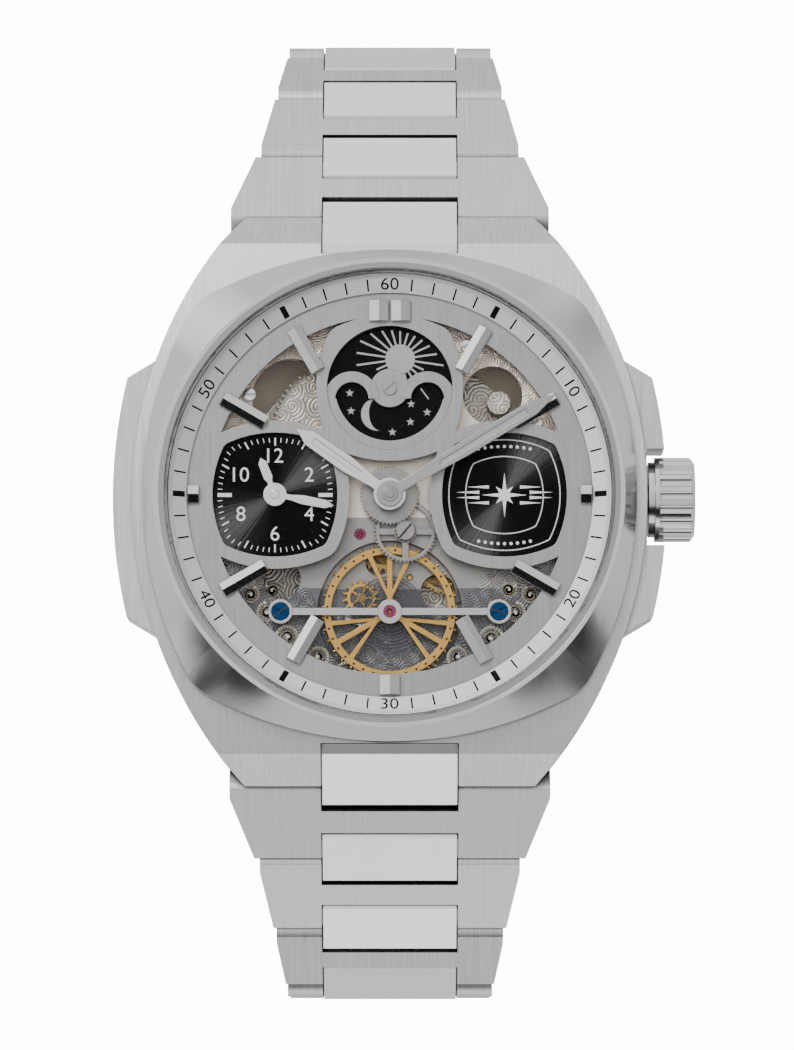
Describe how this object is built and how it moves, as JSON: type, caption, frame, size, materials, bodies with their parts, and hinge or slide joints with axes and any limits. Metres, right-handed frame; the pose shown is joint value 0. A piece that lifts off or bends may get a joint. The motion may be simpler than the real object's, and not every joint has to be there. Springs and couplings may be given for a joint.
{
  "type": "skeleton wristwatch",
  "caption": "Steel skeleton wristwatch with cushion bezel, open dial, sun and moon window, dual-time subdial and an H-link bracelet closed by a folding clasp.",
  "frame": {"origin": "centre of the outer face of the case back", "axes": "+Z out through the dial, +Y to 12 o'clock, +X to 3 o'clock and the crown"},
  "size_m": [0.0452, 0.077, 0.0481],
  "materials": {
    "brushed_case": "fine vertical brushing",
    "polished_steel": "mirror polish",
    "brushed_link": "fine brushing along the link width",
    "crystal_glass": "clear",
    "gasket_white": "satin",
    "dial_silver": "fine brushed, silvered",
    "black_dial": "sunray black",
    "movement_grey": "engraved rhodium",
    "gold": "polished gilt",
    "blued": "blued steel",
    "ruby": "polished ruby",
    "hand_steel": "polished and satin"
  },
  "bodies": {
    "head": {"case_middle": "brushed_case", "bezel": "polished_steel", "crystal": "crystal_glass", "crystal_gasket": "gasket_white", "case_back": "brushed_case", "case_back_crystal": "crystal_glass", "case_back_screws": "polished_steel", "case_end_links": "polished_steel", "movement_ring": "movement_grey", "flange_ring": "dial_silver", "dial_plate": "dial_silver", "hour_markers": "hand_steel", "dual_time_dial": "black_dial", "emblem_dial": "black_dial", "sun_moon_bridge": "dial_silver", "main_plate": "movement_grey", "train_bridge": "movement_grey", "balance_bridge": "hand_steel", "balance_bridge_screws": "blued", "movement_screws": "polished_steel", "jewels": "ruby"},
    "hour_hand": {"hour_hand": "hand_steel"},
    "minute_hand": {"minute_hand": "hand_steel"},
    "minute_wheel": {"minute_wheel": "gold"},
    "dual_hour_hand": {"dual_hour_hand": "hand_steel"},
    "dual_minute_hand": {"dual_minute_hand": "hand_steel"},
    "sun_moon_disc": {"sun_moon_disc": "black_dial"},
    "barrel": {"barrel": "movement_grey"},
    "centre_wheel": {"centre_wheel": "gold"},
    "third_wheel": {"third_wheel": "gold"},
    "fourth_wheel": {"fourth_wheel": "gold"},
    "escape_wheel": {"escape_wheel": "gold"},
    "pallet_fork": {"pallet_fork": "polished_steel"},
    "rotor": {"rotor": "movement_grey"},
    "clutch_wheel": {"clutch_wheel": "polished_steel"},
    "clasp_cover": {"clasp_cover": "brushed_link"},
    "clasp_blade_1": {"clasp_blade_1": "polished_steel"},
    "clasp_blade_2": {"clasp_blade_2": "polished_steel"},
    "clasp_button_left": {"clasp_button_left": "polished_steel"},
    "clasp_button_right": {"clasp_button_right": "polished_steel"},
    "link_12_1": {"link_12_1": "brushed_link"},
    "link_12_2": {"link_12_2": "brushed_link"},
    "link_12_3": {"link_12_3": "brushed_link"},
    "link_12_4": {"link_12_4": "brushed_link"},
    "link_12_5": {"link_12_5": "brushed_link"},
    "link_12_6": {"link_12_6": "brushed_link"},
    "link_12_7": {"link_12_7": "brushed_link"},
    "link_12_8": {"link_12_8": "brushed_link"},
    "link_6_1": {"link_6_1": "brushed_link"},
    "link_6_2": {"link_6_2": "brushed_link"},
    "link_6_3": {"link_6_3": "brushed_link"},
    "link_6_4": {"link_6_4": "brushed_link"},
    "link_6_5": {"link_6_5": "brushed_link"},
    "link_6_6": {"link_6_6": "brushed_link"},
    "link_6_7": {"link_6_7": "brushed_link"},
    "link_6_8": {"link_6_8": "brushed_link"},
    "balance": {"balance_wheel": "gold", "hairspring": "blued"},
    "crown": {"crown": "polished_steel", "winding_stem": "polished_steel"}
  },
  "joints": [
    {"name": "minute_hand_turn", "type": "hinge", "parent": "head", "child": "minute_hand", "pos_m": [0, 0, 0.008], "axis": [0, 0, 1], "continuous": true},
    {"name": "hour_hand_turn", "type": "hinge", "parent": "head", "child": "hour_hand", "pos_m": [0, 0, 0.008], "axis": [0, 0, 1], "continuous": true},
    {"name": "minute_wheel_turn", "type": "hinge", "parent": "head", "child": "minute_wheel", "pos_m": [0.00122, -0.00274, 0.0075], "axis": [0, 0, 1], "continuous": true},
    {"name": "dual_minute_turn", "type": "hinge", "parent": "head", "child": "dual_minute_hand", "pos_m": [-0.00887, 0, 0.0085], "axis": [0, 0, 1], "continuous": true},
    {"name": "dual_hour_turn", "type": "hinge", "parent": "head", "child": "dual_hour_hand", "pos_m": [-0.00887, 0, 0.0085], "axis": [0, 0, 1], "continuous": true},
    {"name": "sun_moon_turn", "type": "hinge", "parent": "head", "child": "sun_moon_disc", "pos_m": [0, 0.0083, 0.0081], "axis": [0, 0, 1], "continuous": true},
    {"name": "fourth_wheel_turn", "type": "hinge", "parent": "head", "child": "fourth_wheel", "pos_m": [0.00156, -0.0062, 0.004], "axis": [0, 0, 1], "continuous": true},
    {"name": "third_wheel_turn", "type": "hinge", "parent": "head", "child": "third_wheel", "pos_m": [0.00518, -0.00359, 0.004], "axis": [0, 0, 1], "continuous": true},
    {"name": "centre_wheel_turn", "type": "hinge", "parent": "head", "child": "centre_wheel", "pos_m": [0, 0, 0.004], "axis": [0, 0, 1], "continuous": true},
    {"name": "barrel_turn", "type": "hinge", "parent": "head", "child": "barrel", "pos_m": [-0.00361, 0.00542, 0.004], "axis": [0, 0, 1], "continuous": true},
    {"name": "escape_wheel_turn", "type": "hinge", "parent": "head", "child": "escape_wheel", "pos_m": [-0.00221, -0.0078, 0.004], "axis": [0, 0, 1], "continuous": true},
    {"name": "pallet_fork_rock", "type": "hinge", "parent": "head", "child": "pallet_fork", "pos_m": [-0.00207, -0.00999, 0.0062], "axis": [0, 0, 1], "range_deg": [-5, 5]},
    {"name": "balance_swing", "type": "hinge", "parent": "head", "child": "balance", "pos_m": [0, -0.009, 0.0069], "axis": [0, 0, 1], "range_deg": [-270, 270]},
    {"name": "rotor_turn", "type": "hinge", "parent": "head", "child": "rotor", "pos_m": [0, 0, 0.002], "axis": [0, 0, 1], "continuous": true},
    {"name": "crown_spin", "type": "hinge", "parent": "head", "child": "clutch_wheel", "pos_m": [0.0116, 0, 0.0046], "axis": [1, 0, 0], "continuous": true},
    {"name": "crown_pull", "type": "slide", "parent": "clutch_wheel", "child": "crown", "axis": [1, 0, 0], "range_m": [0, 0.0012]},
    {"name": "bracelet_12_hinge_1", "type": "hinge", "parent": "head", "child": "link_12_1", "pos_m": [0, 0.0225, 0.002], "axis": [1, 0, 0], "range_deg": [0, 23]},
    {"name": "bracelet_12_hinge_2", "type": "hinge", "parent": "link_12_1", "child": "link_12_2", "pos_m": [0, 0.02804, -0.00159], "axis": [1, 0, 0], "range_deg": [0, 6]},
    {"name": "bracelet_12_hinge_3", "type": "hinge", "parent": "link_12_2", "child": "link_12_3", "pos_m": [0, 0.03316, -0.00575], "axis": [1, 0, 0], "range_deg": [0, 16]},
    {"name": "bracelet_12_hinge_4", "type": "hinge", "parent": "link_12_3", "child": "link_12_4", "pos_m": [0, 0.03695, -0.01115], "axis": [1, 0, 0], "range_deg": [0, 37]},
    {"name": "bracelet_12_hinge_5", "type": "hinge", "parent": "link_12_4", "child": "link_12_5", "pos_m": [0, 0.03672, -0.01775], "axis": [1, 0, 0], "range_deg": [0, 20]},
    {"name": "bracelet_12_hinge_6", "type": "hinge", "parent": "link_12_5", "child": "link_12_6", "pos_m": [0, 0.03425, -0.02387], "axis": [1, 0, 0], "range_deg": [0, 18]},
    {"name": "bracelet_12_hinge_7", "type": "hinge", "parent": "link_12_6", "child": "link_12_7", "pos_m": [0, 0.03, -0.02893], "axis": [1, 0, 0], "range_deg": [0, 18]},
    {"name": "bracelet_12_hinge_8", "type": "hinge", "parent": "link_12_7", "child": "link_12_8", "pos_m": [0, 0.02441, -0.03242], "axis": [1, 0, 0], "range_deg": [0, 17]},
    {"name": "bracelet_12_hinge_9", "type": "hinge", "parent": "link_12_8", "child": "clasp_cover", "pos_m": [0, 0.01803, -0.03413], "axis": [1, 0, 0], "range_deg": [0, 15]},
    {"name": "bracelet_6_hinge_1", "type": "hinge", "parent": "head", "child": "link_6_1", "pos_m": [0, -0.0225, 0.002], "axis": [-1, 0, 0], "range_deg": [0, 23]},
    {"name": "bracelet_6_hinge_2", "type": "hinge", "parent": "link_6_1", "child": "link_6_2", "pos_m": [0, -0.02804, -0.00159], "axis": [-1, 0, 0], "range_deg": [0, 6]},
    {"name": "bracelet_6_hinge_3", "type": "hinge", "parent": "link_6_2", "child": "link_6_3", "pos_m": [0, -0.03316, -0.00575], "axis": [-1, 0, 0], "range_deg": [0, 16]},
    {"name": "bracelet_6_hinge_4", "type": "hinge", "parent": "link_6_3", "child": "link_6_4", "pos_m": [0, -0.03695, -0.01115], "axis": [-1, 0, 0], "range_deg": [0, 37]},
    {"name": "bracelet_6_hinge_5", "type": "hinge", "parent": "link_6_4", "child": "link_6_5", "pos_m": [0, -0.03672, -0.01775], "axis": [-1, 0, 0], "range_deg": [0, 20]},
    {"name": "bracelet_6_hinge_6", "type": "hinge", "parent": "link_6_5", "child": "link_6_6", "pos_m": [0, -0.03425, -0.02387], "axis": [-1, 0, 0], "range_deg": [0, 18]},
    {"name": "bracelet_6_hinge_7", "type": "hinge", "parent": "link_6_6", "child": "link_6_7", "pos_m": [0, -0.03, -0.02893], "axis": [-1, 0, 0], "range_deg": [0, 18]},
    {"name": "bracelet_6_hinge_8", "type": "hinge", "parent": "link_6_7", "child": "link_6_8", "pos_m": [0, -0.02441, -0.03242], "axis": [-1, 0, 0], "range_deg": [0, 17]},
    {"name": "clasp_blade_1_fold", "type": "hinge", "parent": "clasp_cover", "child": "clasp_blade_1", "pos_m": [0, -0.01407, -0.03373], "axis": [1, 0, 0], "range_deg": [0, 60]},
    {"name": "clasp_blade_2_fold", "type": "hinge", "parent": "clasp_blade_1", "child": "clasp_blade_2", "pos_m": [0, 0.01123, -0.03373], "axis": [-1, 0, 0], "range_deg": [0, 80]},
    {"name": "clasp_button_left_press", "type": "slide", "parent": "clasp_cover", "child": "clasp_button_left", "axis": [1, 0, 0], "range_m": [0, 0.0005], "stiffness_N_per_m": 300},
    {"name": "clasp_button_right_press", "type": "slide", "parent": "clasp_cover", "child": "clasp_button_right", "axis": [-1, 0, 0], "range_m": [0, 0.0005], "stiffness_N_per_m": 300}
  ],
  "couplings": [
    {"joint": "hour_hand_turn", "follows": "minute_hand_turn", "ratio": 0.083333},
    {"joint": "minute_wheel_turn", "follows": "minute_hand_turn", "ratio": -0.25},
    {"joint": "dual_minute_turn", "follows": "minute_hand_turn", "ratio": 1},
    {"joint": "dual_hour_turn", "follows": "minute_hand_turn", "ratio": 0.083333},
    {"joint": "sun_moon_turn", "follows": "minute_hand_turn", "ratio": 0.041667},
    {"joint": "third_wheel_turn", "follows": "fourth_wheel_turn", "ratio": -0.13333},
    {"joint": "centre_wheel_turn", "follows": "fourth_wheel_turn", "ratio": 0.016667},
    {"joint": "barrel_turn", "follows": "fourth_wheel_turn", "ratio": -0.0027778},
    {"joint": "escape_wheel_turn", "follows": "fourth_wheel_turn", "ratio": -12},
    {"joint": "bracelet_12_hinge_2", "follows": "bracelet_12_hinge_1", "ratio": 0.26087},
    {"joint": "bracelet_12_hinge_3", "follows": "bracelet_12_hinge_1", "ratio": 0.69565},
    {"joint": "bracelet_12_hinge_4", "follows": "bracelet_12_hinge_1", "ratio": 1.6087},
    {"joint": "bracelet_12_hinge_5", "follows": "bracelet_12_hinge_1", "ratio": 0.86957},
    {"joint": "bracelet_12_hinge_6", "follows": "bracelet_12_hinge_1", "ratio": 0.78261},
    {"joint": "bracelet_12_hinge_7", "follows": "bracelet_12_hinge_1", "ratio": 0.78261},
    {"joint": "bracelet_12_hinge_8", "follows": "bracelet_12_hinge_1", "ratio": 0.73913},
    {"joint": "bracelet_12_hinge_9", "follows": "bracelet_12_hinge_1", "ratio": 0.65217},
    {"joint": "bracelet_6_hinge_2", "follows": "bracelet_6_hinge_1", "ratio": 0.26087},
    {"joint": "bracelet_6_hinge_3", "follows": "bracelet_6_hinge_1", "ratio": 0.69565},
    {"joint": "bracelet_6_hinge_4", "follows": "bracelet_6_hinge_1", "ratio": 1.6087},
    {"joint": "bracelet_6_hinge_5", "follows": "bracelet_6_hinge_1", "ratio": 0.86957},
    {"joint": "bracelet_6_hinge_6", "follows": "bracelet_6_hinge_1", "ratio": 0.78261},
    {"joint": "bracelet_6_hinge_7", "follows": "bracelet_6_hinge_1", "ratio": 0.78261},
    {"joint": "bracelet_6_hinge_8", "follows": "bracelet_6_hinge_1", "ratio": 0.73913}
  ]
}
